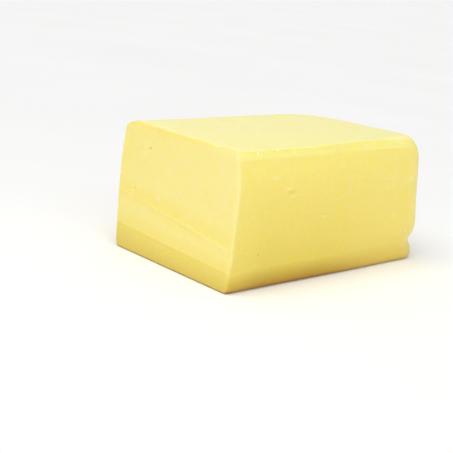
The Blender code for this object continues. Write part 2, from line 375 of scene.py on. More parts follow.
def round_corner(first, second):
    """Draws the square rings of a corner onto quarter rounds.

    Both shares are 0 where the corner starts and 1 on the box. A point keeps its
    ring, the larger share, and moves along its ray to that distance.
    """
    ring = np.maximum(first, second)
    reach = np.hypot(first, second)
    in_corner = (first > 0.0) & (second > 0.0)
    factor = np.where(in_corner, ring / np.maximum(reach, 1e-9), 1.0)
    return first * factor, second * factor, in_corner


def move_ring(value, low, high, low_rim, high_rim, depth, new_depth):
    """Moves a point with its ring, from one depth inside a box's sides to another.

    The box is inset by a share of each side's rim, and the point keeps its place
    between the two inset sides.
    """
    old_low = low + low_rim * depth
    old_high = high - high_rim * depth
    new_low = low + low_rim * new_depth
    new_high = high - high_rim * new_depth
    share = (value - old_low) / (old_high - old_low)
    return new_low + share * (new_high - new_low)


def round_cut_rim(x, y, z):
    """Breaks the sharp outline that the wire left round the cut end."""
    half_width = WIDTH / 2
    rim, reach = CUT_RIM
    inside = np.minimum.reduce([half_width - y, half_width + y, HEIGHT - z, z])
    depth = np.clip(inside / rim, 0.0, 1.0)
    outward = np.clip((reach - LENGTH / 2 - x) / reach, 0.0, 1.0)
    outward, ring, moved = round_corner(outward, 1.0 - depth)
    new_y = move_ring(y, -half_width, half_width, rim, rim, depth, 1.0 - ring)
    new_z = move_ring(z, 0.0, HEIGHT, rim, rim, depth, 1.0 - ring)
    new_x = reach - LENGTH / 2 - reach * outward
    return np.where(moved, new_x, x), np.where(moved, new_y, y), np.where(moved, new_z, z)


def round_level_rim(x, y, height_left, front_rim, back_rim, end_rim):
    """Rounds the rim round the top or the foot by quarter ellipses.

    Each rim is (in, along the side). The cut end has no such rim. height_left is
    the distance from the level face.
    """
    half_width = WIDTH / 2
    half_length = LENGTH / 2
    depth = np.minimum.reduce([
        (half_width + y) / front_rim[0],
        (half_width - y) / back_rim[0],
        (half_length - x) / end_rim[0],
    ])
    depth = np.clip(depth, 0.0, 1.0)
    outward = 1.0 - depth
    upward = np.clip(1.0 - height_left / end_rim[1], 0.0, 1.0)
    outward, upward, moved = round_corner(outward, upward)
    new_y = move_ring(y, -half_width, half_width, front_rim[0], back_rim[0], depth, 1.0 - outward)
    new_x = move_ring(x, -half_length, half_length, 0.0, end_rim[0], depth, 1.0 - outward)
    new_height_left = end_rim[1] * (1.0 - upward)
    return (
        np.where(moved, new_x, x),
        np.where(moved, new_y, y),
        np.where(moved, new_height_left, height_left),
    )


def round_top(x, y, z):
    """Rounds the mould's top rim, tight in front and wide at the back and end."""
    along = np.clip(x / LENGTH + 0.5, 0.0, 1.0)
    across = np.clip(y / WIDTH + 0.5, 0.0, 1.0)
    widened = grown(x, (LENGTH / 2 - FRONT_RIM_GROWS_OVER, LENGTH / 2))
    front_in, front_down = (between((FRONT_RIM_NEAR[i], FRONT_RIM_FAR[i]), widened) for i in (0, 1))
    back_in, back_down = (between((BACK_RIM_NEAR[i], BACK_RIM_FAR[i]), along) for i in (0, 1))
    mid_end = 4.0 * across * (1.0 - across)
    end_in = between((between((front_in, back_in), across), END_RIM[0]), mid_end)
    end_share = grown(along, END_RIM_RULES_OVER) * mid_end
    down = between((between((front_down, back_down), across), END_RIM[1]), end_share)
    x, y, height_left = round_level_rim(
        x, y, HEIGHT - z, (front_in, down), (back_in, down), (end_in, down)
    )
    return x, y, HEIGHT - height_left


def round_foot(x, y, z):
    """Rounds the edge round the foot."""
    return round_level_rim(x, y, z, FOOT_RIM, FOOT_RIM, FOOT_RIM)


def round_end_corners(x, y, z):
    """Rounds the two upright corners of the moulded end."""
    for side, radii in ((-1.0, FRONT_CORNER), (1.0, BACK_CORNER)):
        radius = between(radii, smooth_step(z / HEIGHT))
        along = np.clip((x - (LENGTH / 2 - radius)) / radius, 0.0, 1.0)
        across = np.clip((side * y - (WIDTH / 2 - radius)) / radius, 0.0, 1.0)
        along, across, moved = round_corner(along, across)
        x = np.where(moved, LENGTH / 2 - radius + radius * along, x)
        y = np.where(moved, side * (WIDTH / 2 - radius + radius * across), y)
    return x, y, z


def skew_end(x, y, z):
    """Turns the moulded end a little, so that it isn't quite parallel to the cut."""
    along = np.clip(x / LENGTH + 0.5, 0.0, 1.0)
    across = np.clip(y / WIDTH + 0.5, 0.0, 1.0)
    return x - END_SKEW * along * across, y, z


def deepen_band(x, y, z):
    """Lowers the band's line where the band grows, drawing the front down with it."""
    across = np.clip(y / WIDTH + 0.5, 0.0, 1.0)
    drop = HEIGHT - z
    line_drop = BAND_HEIGHT[0]
    below_line = smooth_step((drop - line_drop) / (BELLY_DROP - line_drop))
    follows = np.clip(drop / line_drop, 0.0, 1.0) * (1.0 - below_line) * (1.0 - across)
    return x, y, z - (BAND_HEIGHT[1] - line_drop) * grown(x, BAND_DEEPENS_OVER) * follows


def sag_sides(x, y, z):
    """Lets the sides belly out, tuck in towards the foot and take the groove.

    The front's and back's swell is shared out evenly across the width, and the
    end's by the cube of the share along the length, so that every point between
    them follows.
    """
    across = np.clip(y / WIDTH + 0.5, 0.0, 1.0)
    along = np.clip(x / LENGTH + 0.5, 0.0, 1.0)
    drop = HEIGHT - z
    groove = GROOVE_DEPTH * bump(z - GROOVE_HEIGHT, GROOVE_WIDTH)
    side_groove = groove * smooth_step((x - GROOVE_STARTS) / (GROOVE_FULL - GROOVE_STARTS))
    band_height = between(BAND_HEIGHT, grown(x, BAND_DEEPENS_OVER))
    band_in = between(BAND_TOP_IN, grown(x, BAND_LEANS_OVER)) * (1.0 - grown(x, BAND_FADES_OVER))
    band = np.clip(drop / band_height, 0.0, 1.0) * (BAND_LINE_OUT + band_in) - band_in
    belly = between(FRONT_BELLY, grown(x, FRONT_BELLY_EASES_OVER))
    front_belly = belly * levelled((drop - band_height) / (BELLY_DROP - band_height))
    tuck = TUCK * smooth_step((CREST_HEIGHT - z) / TUCK_DROP)
    crest = CREST_SWELL * bump(z - CREST_HEIGHT, CREST_WIDTH)
    front = band + front_belly - tuck + crest - side_groove
    back = BACK_BELLY * smooth_step(drop / BELLY_DROP) - side_groove
    end = END_BELLY * smooth_step(drop / END_BELLY_DROP) - groove
    return x + end * along**3, y - front * (1.0 - across) + back * across, z


def face_cut_end(x, y, z):
    """Gives the cut end its low ridge and its two facets that step back below it."""
    near = smooth_step(1.0 - (x + LENGTH / 2) / CUT_RELIEF_DEPTH)
    below_ridge = np.clip((RIDGE_HEIGHT - z) / (RIDGE_HEIGHT - VALLEY_HEIGHT), 0.0, 1.0)
    below_valley = np.clip((VALLEY_HEIGHT - z) / VALLEY_HEIGHT, 0.0, 1.0)
    back = UPPER_FACET_STEP * below_ridge + LOWER_FACET_STEP * below_valley
    back = back - RIDGE_SWELL * bump(z - RIDGE_HEIGHT, RIDGE_WIDTH)
    tilt = VALLEY_TILT + (RIDGE_TILT - VALLEY_TILT) * (1.0 - below_ridge)
    held = smooth_step(z / VALLEY_HEIGHT) * smooth_step((HEIGHT - z) / TILT_FADES)
    return x + back * near, y, z + tilt * y * held * near


def raise_top(x, y, z):
    """Lifts the upper half a little more the nearer it is to the moulded end."""
    along = smooth_step(x / LENGTH + 0.5)
    return x, y, z + TOP_RISE * along * smooth_step(2.0 * z / HEIGHT - 1.0)


# --- Fine relief -----------------------------------------------------------------


def lattice_noise(points, size, seed):
    """Smooth noise from -1 to 1: random values at the corners of cubes of one
    size, blended inside each cube by smooth steps along X, Y and Z."""
    random = np.random.default_rng(seed)
    scaled = points / size
    start = np.floor(scaled.min(axis=0)).astype(int)
    cell = np.floor(scaled).astype(int) - start
    share = smooth_step(scaled - np.floor(scaled))
    values = random.uniform(-1.0, 1.0, size=tuple(cell.max(axis=0) + 2))
    total = np.zeros(len(points))
    for corner in np.ndindex(2, 2, 2):
        weight = np.prod(np.where(corner, share, 1.0 - share), axis=1)
        i, j, k = (cell + np.array(corner)).T
        total += weight * values[i, j, k]
    return total


def mark_relief(across, up, marks):
    """Depth of a set of marks: the sum of turned oval humps, one for each mark."""
    depth = np.zeros(len(up))
    for place, height, half_width, half_height, sunk, turn in marks:
        cosine, sine = math.cos(math.radians(turn)), math.sin(math.radians(turn))
        sideways = (across - place) * cosine + (up - height) * sine
        upward = (up - height) * cosine - (across - place) * sine
        depth += sunk * bump(sideways, half_width) * bump(upward, half_height)
    return depth


def point_normals(points, quads):
    """Outward normal at each point: the mean of the cross products of the
    diagonals of the quads that share it."""
    a, b, c, d = (points[quads[:, i]] for i in range(4))
    facing = np.cross(c - a, d - b)
    total = np.zeros_like(points)
    for corner in range(4):
        for axis in range(3):
            total[:, axis] += np.bincount(quads[:, corner], facing[:, axis], len(points))
    return total / np.linalg.norm(total, axis=1, keepdims=True)


def strewn_marks(strew, low, high):
    """Marks at random places between two corners, half of them sunk."""
    count, size, depth, seed = strew
    random = np.random.default_rng(seed)
    places = random.uniform(low, high, (count, 2))
    half_widths = size * random.uniform(*STREW_SIZES, count)
    half_heights = half_widths * random.uniform(*STREW_FLATNESS, count)
    sunk = depth * random.uniform(*STREW_DEPTHS, count) * np.where(np.arange(count) % 2, *STREW_SINKS)
    turns = random.uniform(*STREW_TURNS, count)
    return np.column_stack([places, half_widths, half_heights, sunk, turns])


def mark_depth(box_points, normals):
    """Depth of all the marks, each set only on the side that it belongs to."""
    x, y, z = box_points.T
    half_length, half_width = STREW_SPREAD * LENGTH, STREW_SPREAD * WIDTH
    low, high = (part * HEIGHT for part in STREW_HEIGHTS)
    back = strewn_marks(BACK_STREW, (-half_length, low), (half_length, high))
    end = strewn_marks(END_STREW, (-half_width, low), (half_width, high))
    top = strewn_marks(TOP_STREW, (-half_length, -half_width), (half_length, half_width))
    sides = (
        (x, z, FRONT_MARKS, -normals[:, 1]),
        (x, z, back, normals[:, 1]),
        (y, z, CUT_MARKS, -normals[:, 0]),
        (y, z, end, normals[:, 0]),
        (x, y, top, normals[:, 2]),
    )
    return sum(
        mark_relief(across, up, marks) * np.clip(facing, 0.0, 1.0) ** FACING_POWER
        for across, up, marks, facing in sides
    )


def streak_depth(along, across, streaks, stretch):
    """Long low streaks: noise that is drawn out along one direction."""
    size, height, seed = streaks
    drawn = np.stack([along / stretch, across, np.zeros_like(along)], axis=1)
    return height * lattice_noise(drawn, size, seed)


def crease_bump(box_points, drop, width):
    """A hump, 1 high, across the front's band at a drop below the top. It fades at
    both ends of the loaf."""
    x, y, z = box_points.T
    on_front = smooth_step(1.0 - (y + WIDTH / 2) / FRONT_RIM_FAR[0])
    along = grown(x, TOP_CREASE_STARTS_OVER) * (1.0 - grown(x, TOP_CREASE_ENDS_OVER))
    return bump(HEIGHT - z - drop, width) * on_front * along


def fine_depth(box_points, normals):
    """How far each point sinks into the cheese: the top crease, the marks, the
    swells and streaks of the skin and the wire's chatter on the cut."""
    x, y, z = box_points.T
    cut = np.clip(-normals[:, 0], 0.0, 1.0) ** FACING_POWER
    off_foot = smooth_step(z / FOOT_RIM[1])
    depth = mark_depth(box_points, normals)
    depth += TOP_CREASE_DEPTH * crease_bump(box_points, TOP_CREASE_DROP, TOP_CREASE_WIDTH)
    for size, height, seed in SKIN_SWELLS:
        depth += height * lattice_noise(box_points, size, seed)
    climb, drift = math.sin(WIRE_SLANT), math.cos(WIRE_SLANT)
    wire = streak_depth(z * climb - y * drift, z * drift + y * climb, WIRE_CHATTER, WIRE_STRETCH)
    skin = streak_depth(x - y, z, SKIN_STREAKS, SKIN_STRETCH)
    depth += wire * cut + skin * (1.0 - cut)
    return depth * off_foot


def shape_loaf(box_points, quads):
    """Moves the lattice onto the cheese, sinks the fine relief along the normals
    and centres the result on Z, inside the solid's own box."""
    x, y, z = box_points.T
    rules = (
        round_cut_rim, round_top, round_foot, round_end_corners,
        skew_end, deepen_band, sag_sides, face_cut_end, raise_top,
    )
    for rule in rules:
        x, y, z = rule(x, y, z)
    points = np.stack([x, y, z], axis=1)
    middle = (points.min(axis=0) + points.max(axis=0)) / 2
    middle[2] = 0.0
    normals = point_normals(points, quads)
    points = points - normals * fine_depth(box_points, normals)[:, None]
    points[:, 2] = np.maximum(points[:, 2], 0.0)
    return points - middle


# --- Mesh ------------------------------------------------------------------------


def mesh_object(name, points, quads):
    """A smooth-shaded mesh object at the origin from whole arrays."""
    mesh = bpy.data.meshes.new(name)
    mesh.vertices.add(len(points))
    mesh.vertices.foreach_set("co", points.astype(np.float32).ravel())
    mesh.loops.add(quads.size)
    mesh.loops.foreach_set("vertex_index", quads.astype(np.int32).ravel())
    mesh.polygons.add(len(quads))
    mesh.polygons.foreach_set("loop_start", np.arange(0, quads.size, 4, dtype=np.int32))
    mesh.update(calc_edges=True)
    mesh.validate()
    mesh.shade_smooth()
    made = bpy.data.objects.new(name, mesh)
    bpy.context.scene.collection.objects.link(made)
    return made


# --- Materials -------------------------------------------------------------------


class Nodes:
    """Short calls for building one material's node tree."""

    def __init__(self, name):
        self.material = bpy.data.materials.new(name)
        self.material.use_nodes = True
        self.tree = self.material.node_tree
        self.surface = self.tree.nodes["Principled BSDF"]
        self.place = self.tree.nodes.new("ShaderNodeTexCoord").outputs["Object"]

    def add(self, kind, **settings):
        """A new node of a kind, with its settings."""
        node = self.tree.nodes.new(kind)
        for name, value in settings.items():
            setattr(node, name, value)
        return node

    def link(self, source, target):
        """A link from one socket to another."""
        self.tree.links.new(source, target)

    def noise(self, scale, detail, roughness, stretch=None, turn=None):
        """Noise of about 1 / scale metres; stretch and turn lay it along a direction."""
        texture = self.add("ShaderNodeTexNoise")
        texture.inputs["Scale"].default_value = scale
        texture.inputs["Detail"].default_value = detail
        texture.inputs["Roughness"].default_value = roughness
        place = self.place
        if stretch:
            mapping = self.add("ShaderNodeMapping")
            mapping.inputs["Rotation"].default_value = turn
            mapping.inputs["Scale"].default_value = stretch
            self.link(place, mapping.inputs["Vector"])
            place = mapping.outputs["Vector"]
        self.link(place, texture.inputs["Vector"])
        return texture.outputs["Fac"]

    def share(self, name):
        """A value stored at the mesh's points under a name."""
        return self.add("ShaderNodeAttribute", attribute_name=name).outputs["Fac"]

    def remap(self, value, low, high, new_low, new_high):
        """A value read between low and high, held there, as one between two others."""
        node = self.add("ShaderNodeMapRange")
        node.inputs["From Min"].default_value = low
        node.inputs["From Max"].default_value = high
        node.inputs["To Min"].default_value = new_low
        node.inputs["To Max"].default_value = new_high
        self.link(value, node.inputs["Value"])
        return node.outputs["Result"]

    def pattern(self, pattern, new_low, new_high, **lie):
        """A pattern's noise, held to its range, as a value between two others."""
        noise, (low, high) = pattern
        return self.remap(self.noise(*noise, **lie), low, high, new_low, new_high)

    def math(self, operation, first, second):
        """Two values multiplied or added."""
        node = self.add("ShaderNodeMath", operation=operation)
        self.link(first, node.inputs[0])
        self.link(second, node.inputs[1])
        return node.outputs["Value"]

    def mix(self, factor, first, second, blend="MIX"):
        """Two colours mixed by a factor; each is a colour or a socket.

        The node has sockets for every kind of value. Those of a colour mix are
        inputs 0, 6 and 7 and output 2.
        """
        node = self.add("ShaderNodeMix", data_type="RGBA", blend_type=blend)
        self.link(factor, node.inputs[0])
        for socket, value in zip(node.inputs[6:8], (first, second)):
            if isinstance(value, tuple):
                socket.default_value = value
            else:
                self.link(value, socket)
        return node.outputs[2]


# --- The cheese's colours and finish ---------------------------------------------

SKIN_COLOR = (0.965, 0.798, 0.167, 1.0)
CUT_COLOR = (0.920, 0.798, 0.252, 1.0)
# The top's colour is a painted highlight: faces turned up are painted paler, as where light falls
# strongest.
TOP_HIGHLIGHT_COLOR = (0.940, 0.851, 0.308, 1.0)
TOP_EDGE_COLOR = (0.915, 0.868, 0.190, 1.0)
# The crease's colour is painted shade, a deeper line along the crease in the front's band.
CREASE_SHADE_COLOR = (0.890, 0.795, 0.160, 1.0)
# The sloping faces' colour is painted shade, darker to offset the extra light they catch.
SLOPE_SHADE_COLOR = (0.885, 0.795, 0.210, 1.0)
# The shoulder's colour is a painted highlight, paler where light comes through the thin band.
SHOULDER_HIGHLIGHT_COLOR = (0.965, 0.868, 0.245, 1.0)
# The rim's colour is a painted highlight along the cut's outline.
RIM_HIGHLIGHT_COLOR = (0.885, 0.825, 0.440, 1.0)
# The rind's colour is the rind's own, and also painted shade over the cut's ridge, towards its valley
# and on its lower facet.
RIND_AND_SHADE_COLOR = (0.900, 0.745, 0.120, 1.0)
# The pale colour is partly pale smears and partly painted highlight and painted reflection.
PALE_AND_HIGHLIGHT_COLOR = (0.985, 0.905, 0.470, 1.0)
# The deep colour is the knit's own, and also painted shade in dents and pits.
KNIT_AND_DENT_SHADE_COLOR = (0.900, 0.760, 0.130, 1.0)
FLECK_COLOR = (0.955, 0.882, 0.520, 1.0)
# The brow's tint is painted shade on the rounded rim over the cut.
BROW_SHADE_TINT = (0.930, 0.925, 0.890, 1.0)
# These two tints are painted shade low on the sides and painted brown reflected light at the foot.
LOW_SHADE_TINT = (0.790, 0.765, 0.370, 1.0)
BROWN_BOUNCE_TINT = (0.540, 0.330, 0.000, 1.0)
# White is the colour of the painted glints, and dark that of the painted shade in the cut's hole and
# dent.
SPECK_GLINT_AND_SHADE_COLORS = {
    "white": (1.000, 0.960, 0.720, 1.0),
    "pale": (0.990, 0.890, 0.340, 1.0),
    "dark": (0.780, 0.620, 0.110, 1.0),
}
# How much of a speck's radius is fully its colour.
SPECK_CORE = 0.45
# What the palest curds add to the colour round them.
CURD_LIFT = (0.014, 0.004, 0.110, 1.0)

# What is laid over the skin, layer by layer, each by a share stored at the points.
FACE_LAYERS = (
    ("cut_share", CUT_COLOR),
    ("rind_and_shade_share", RIND_AND_SHADE_COLOR),
    ("shoulder_highlight_share", SHOULDER_HIGHLIGHT_COLOR),
    ("slope_shade_share", SLOPE_SHADE_COLOR),
    ("top_share", TOP_HIGHLIGHT_COLOR),
    ("top_edge_share", TOP_EDGE_COLOR),
    ("crease_shade_share", CREASE_SHADE_COLOR),
)
MARK_LAYERS = (("pale_and_highlight_share", PALE_AND_HIGHLIGHT_COLOR), ("dent_shade_share", KNIT_AND_DENT_SHADE_COLOR))
TINT_LAYERS = (("brow_shade_share", BROW_SHADE_TINT), ("low_shade_share", LOW_SHADE_TINT), ("brown_bounce_share", BROWN_BOUNCE_TINT))

# Patterns in the cheese. Each is a noise (waves in a metre, detail, roughness) that
# is read over a range of its values.
KNIT = ((150.0, 3.0, 0.55), (0.35, 0.65))
CURD = ((480.0, 4.0, 0.6), (0.40, 0.70))
FLECKS = ((230.0, 3.0, 0.6), (0.45, 0.68))
BEADS = ((380.0, 2.0, 0.5), (0.38, 0.62))
SHINE = ((140.0, 3.0, 0.5), (0.3, 0.7))
# The grain is the sum of a fine noise and a coarser one.
FINE_GRAIN = (900.0, 3.0, 0.6)
COARSE_GRAIN = (330.0, 3.0, 0.6)
# The knit, the curd and the grain lie along the wire's streaks.
CURD_LIE = {"stretch": (0.5, 0.5, 1.2), "turn": (WIRE_SLANT, math.radians(6.0), 0.0)}

# How deep in colour the knit is and how strongly the top's flecks show.
KNIT_DEPTH = 0.10
FLECK_SHARE = 0.85

# The finish: its roughness, how strong and how high the grain is, and the rest.
ROUGHNESS = (0.42, 0.56)
GRAIN_STRENGTH = 0.45
GRAIN_HEIGHT = 0.0004
FINISH = {
    "Metallic": 0.0,
    "IOR": 1.45,
    "Subsurface Weight": 0.40,
    "Subsurface Radius": (1.0, 0.65, 0.22),
    "Subsurface Scale": 0.004,
}


def add_specks(cheese, color, specks):
    """Mixes small round specks, among them painted glints and painted shade, into a
    colour, each by its distance from a point.
    """
    for place, radius, speck_color in specks:
        distance = cheese.add("ShaderNodeVectorMath", operation="DISTANCE")
        cheese.link(cheese.place, distance.inputs[0])
        distance.inputs[1].default_value = place
        share = cheese.remap(distance.outputs["Value"], SPECK_CORE * radius, radius, 1.0, 0.0)
        color = cheese.mix(share, color, speck_color)
    return color


def cheese_color(cheese, specks):
    """The skin's colour with its layers, patterns and specks: a top painted paler as a
    highlight and a paler cut, curd knit and flecks, pale smears that are partly painted
    highlight, pits darkened by painted shade, the beaded rim's painted highlight, the
    foot's painted shade, and painted glints and shade among the specks."""
    color = SKIN_COLOR
    for name, layer in FACE_LAYERS:
        color = cheese.mix(cheese.share(name), color, layer)
    color = cheese.mix(cheese.pattern(KNIT, 0.0, KNIT_DEPTH, **CURD_LIE), color, KNIT_AND_DENT_SHADE_COLOR)
    color = cheese.mix(cheese.pattern(CURD, 0.0, 1.0, **CURD_LIE), color, CURD_LIFT, "ADD")
    flecks = cheese.math("MULTIPLY", cheese.pattern(FLECKS, 0.0, FLECK_SHARE), cheese.share("top_share"))
    color = cheese.mix(flecks, color, FLECK_COLOR)
    for name, layer in MARK_LAYERS:
        color = cheese.mix(cheese.share(name), color, layer)
    rim = cheese.math("MULTIPLY", cheese.share("rim_highlight_share"), cheese.pattern(BEADS, *RIM_BEAD_SHARES))
    color = cheese.mix(rim, color, RIM_HIGHLIGHT_COLOR)
    color = add_specks(cheese, color, specks)
    for name, tint in TINT_LAYERS:
        color = cheese.mix(cheese.share(name), color, tint, "MULTIPLY")
    return color


def cheese_material(specks):
    """Waxy yellow cheese: its colour, a low sheen, light scattered inside it and a
    fine grain. Each of the specks is (place, radius, colour)."""
    cheese = Nodes("cheese")
    surface = cheese.surface
    cheese.link(cheese_color(cheese, specks), surface.inputs["Base Color"])
    cheese.link(cheese.pattern(SHINE, *ROUGHNESS), surface.inputs["Roughness"])
    for socket, value in FINISH.items():
        surface.inputs[socket].default_value = value
    fine, coarse = (cheese.noise(*grain, **CURD_LIE) for grain in (FINE_GRAIN, COARSE_GRAIN))
    relief = cheese.add("ShaderNodeBump")
    relief.inputs["Strength"].default_value = GRAIN_STRENGTH
    relief.inputs["Distance"].default_value = GRAIN_HEIGHT
    cheese.link(cheese.math("ADD", fine, coarse), relief.inputs["Height"])
    cheese.link(relief.outputs["Normal"], surface.inputs["Normal"])
    return cheese.material


# --- Where each colour lies --------------------------------------------------------

# How far a face is turned up where it starts and ends to look like a sloping one,
# which is painted darker as shade, and then like the top, which is painted paler as
# a highlight.
SLOPE_FACES_OVER = (0.25, 0.60)
TOP_FACES_OVER = (0.80, 0.98)

# The cut's rim is a pale line of painted highlight, this wide across the cut and
# along the loaf. It is broken into beads, and fades towards the foot.
RIM_WIDTHS = (0.0009, 0.0020)
RIM_PALENESS = 0.80
RIM_BEAD_SHARES = (0.55, 1.0)
RIM_LINE_STARTS_OVER = (0.0, 0.022)
# The ridge has a fainter pale line, a painted highlight, just below its crest, up to
# where it fades towards the back.
RIDGE_LINE_DROP = 0.0007
RIDGE_LINE_WIDTH = 0.0020
RIDGE_HIGHLIGHT_PALENESS = 0.34
RIDGE_LINE_FADES_OVER = (-0.055, -0.010)
# The rounded brow over the cut is painted a little darker than what lies on both
# sides, as painted shade against the extra light its sloping faces catch: how far it
# is turned up, and towards the cut.
BROW_STARTS_OVER = (0.05, 0.40)
BROW_ENDS_OVER = (0.95, 0.995)
BROW_FACES_CUT_OVER = (0.0, 0.3)

# The rind below the cut's top rim and along its back: (how far in it reaches, how
# deep in colour it is).
TOP_RIND = (0.0052, 0.62)
BACK_RIND = (0.0340, 0.24)
# The top one fades out towards the front, where the cut is a little paler instead.
TOP_RIND_GATHERS_OVER = (-0.055, 0.030)
NEAR_CUT_PALENESS = 0.13
NEAR_CUT_OVER = (-0.020, -0.058)
NEAR_CUT_STARTS_OVER = (0.060, 0.085)
# The cut is painted as deep in colour, as painted shade, just above its ridge (how
# far, over what distance, how much), towards the valley (over which heights, how
# much) and below it.
RIDGE_SHADE = (0.0031, 0.0085, 0.60)
VALLEY_SHADE_OVER = (0.034, 0.019)
VALLEY_SHADE = 0.45
FACET_STARTS_OVER = (-0.0009, 0.0006)
FACET_SHADE = 0.70
# The valley itself is a thin deeper line of painted shade: (how far down, how wide, how much).
VALLEY_SHADE_LINE = (0.0008, 0.0009, 0.22)

# The top is deeper in colour near the front: (how far in, how much).
TOP_EDGES = ((0.0055, 0.55), (0.045, 0.25))
# So is a line of painted shade along the crease in the front's band, which sinks
# below the crease as it goes along the loaf.
CREASE_SHADE_DROP = (0.0012, 0.0028)
CREASE_SHADE_SINKS_OVER = (-0.070, 0.030)
CREASE_SHADE_WIDTH = 0.0010
CREASE_SHADE_DEPTH = 0.60
# The front is painted paler on its shoulder near the cut, a painted highlight where
# light comes through the thin band: down to where, and along X.
SHOULDER_ENDS_OVER = (0.0050, 0.0072)
SHOULDER_FADES_OVER = (-0.025, 0.020)
# The far part of the top is a little paler, and the far front corner is painted
# paler as a painted reflection of the pale surroundings.
FAR_TOP_PALENESS = 0.18
FAR_TOP_OVER = (-0.020, 0.070)
CORNER_REFLECTION_PALENESS = 0.30
CORNER_REFLECTION_OVER = (0.080, 0.098)

# Low down the sides are darkened by painted shade, and browner still close to the
# foot by painted brown reflected light: the heights that these start at.
LOW_SHADE_HEIGHT = 0.085
BROWN_BOUNCE_HEIGHT = 0.0165
# Both are weaker at the near corner and clear again towards the moulded end.
NEAR_FOOT_SHARE = 0.78
FOOT_GATHERS_OVER = (-0.105, -0.070)
FAR_FOOT_SHARE = 0.50
FOOT_CLEARS_OVER = (-0.03, 0.08)
# The cut is darkened by painted shade on its lower facet, and less so towards it.
ABOVE_VALLEY_SHADE_SHARE = 0.16
CUT_FACET_SHADE_SHARE = 0.42
CUT_BROWN_BOUNCE_SHARE = 0.35

# Raised marks this high are fully pale, partly a painted highlight, and sunk marks
# this deep are fully deep in colour, a painted shade.
PALE_AT = 0.00065
DENT_SHADE_AT = 0.00120


def rim_highlight_and_brow_shade_shares(box_points, facing_cut, turned_up):
    """How much each point has of the cut's rim line of painted highlight, a hump over
    its distances from the cut's outline and from the cut end, and of the brow's
    painted shade, which lies within two rims of that outline."""
    x, y, z = box_points.T
    half_width = WIDTH / 2
    inside = np.maximum(np.minimum.reduce([half_width - y, half_width + y, HEIGHT - z]), 0.0)
    line = bump(np.hypot(inside / RIM_WIDTHS[0], (x + LENGTH / 2) / RIM_WIDTHS[1]), 1.0)
    line *= RIM_PALENESS * grown(z, RIM_LINE_STARTS_OVER)
    near_rim = smooth_step(2.0 - inside / CUT_RIM[0]) * grown(facing_cut, BROW_FACES_CUT_OVER)
    brow = grown(turned_up, BROW_STARTS_OVER) * (1.0 - grown(turned_up, BROW_ENDS_OVER)) * near_rim
    return line, brow


def rind_and_shade_shares(box_points):
    """How deep in colour the cut is at each point: the deepest of its rinds and
    painted shades, and the valley's painted shade line added to it."""
    _, y, z = box_points.T
    above_ridge, ridge_reach, ridge_shade = RIDGE_SHADE
    below_valley, line_width, line_shade = VALLEY_SHADE_LINE
    rind = np.maximum.reduce([
        TOP_RIND[1] * bump(HEIGHT - z, TOP_RIND[0]) * grown(y, TOP_RIND_GATHERS_OVER),
        BACK_RIND[1] * bump(WIDTH / 2 - y, BACK_RIND[0]),
        ridge_shade * bump(z - RIDGE_HEIGHT - above_ridge, ridge_reach),
        VALLEY_SHADE * grown(z, VALLEY_SHADE_OVER),
        FACET_SHADE * grown(VALLEY_HEIGHT - z, FACET_STARTS_OVER),
    ])
    return rind + line_shade * bump(VALLEY_HEIGHT - below_valley - z, line_width)


def pale_and_highlight_shares(box_points, marks, cut_share, top_share, slope_shade_share):
    """How pale each point is: the palest of the raised marks, partly painted highlight,
    the ridge's painted highlight line, the near cut, the far top and the far front
    corner's painted reflection."""
    x, y, z = box_points.T
    ridge_line = RIDGE_HIGHLIGHT_PALENESS * bump(z - RIDGE_HEIGHT + RIDGE_LINE_DROP, RIDGE_LINE_WIDTH)
    ridge_line *= (1.0 - grown(y, RIDGE_LINE_FADES_OVER)) * cut_share
    near_cut = grown(y, NEAR_CUT_OVER) * grown(z, NEAR_CUT_STARTS_OVER)
    corner = grown(x, CORNER_REFLECTION_OVER) * (1.0 - slope_shade_share) * smooth_step(-y / (WIDTH / 2))
    return np.maximum.reduce([
        np.clip(-marks / PALE_AT, 0.0, 1.0),
        ridge_line,
        NEAR_CUT_PALENESS * cut_share * near_cut,
        FAR_TOP_PALENESS * grown(x, FAR_TOP_OVER) * top_share,
        CORNER_REFLECTION_PALENESS * corner,
    ])


def foot_shade_shares(box_points, cut_share):
    """How much painted shade and painted brown reflected light each point has by its height over the
    foot.
    """
    x, _, z = box_points.T
    along = between((NEAR_FOOT_SHARE, 1.0), grown(x, FOOT_GATHERS_OVER))
    along = between((along, FAR_FOOT_SHARE), grown(x, FOOT_CLEARS_OVER))
    dull = along * np.clip(1.0 - z / LOW_SHADE_HEIGHT, 0.0, 1.0)
    brown = np.clip(1.0 - z / BROWN_BOUNCE_HEIGHT, 0.0, 1.0)
    facet = grown(VALLEY_HEIGHT - z, FACET_STARTS_OVER)
    cut_dull = np.maximum(ABOVE_VALLEY_SHADE_SHARE * grown(z, VALLEY_SHADE_OVER), CUT_FACET_SHADE_SHARE * facet)
    return (
        between((dull, cut_dull), cut_share),
        brown * between((along, CUT_BROWN_BOUNCE_SHARE), cut_share),
    )


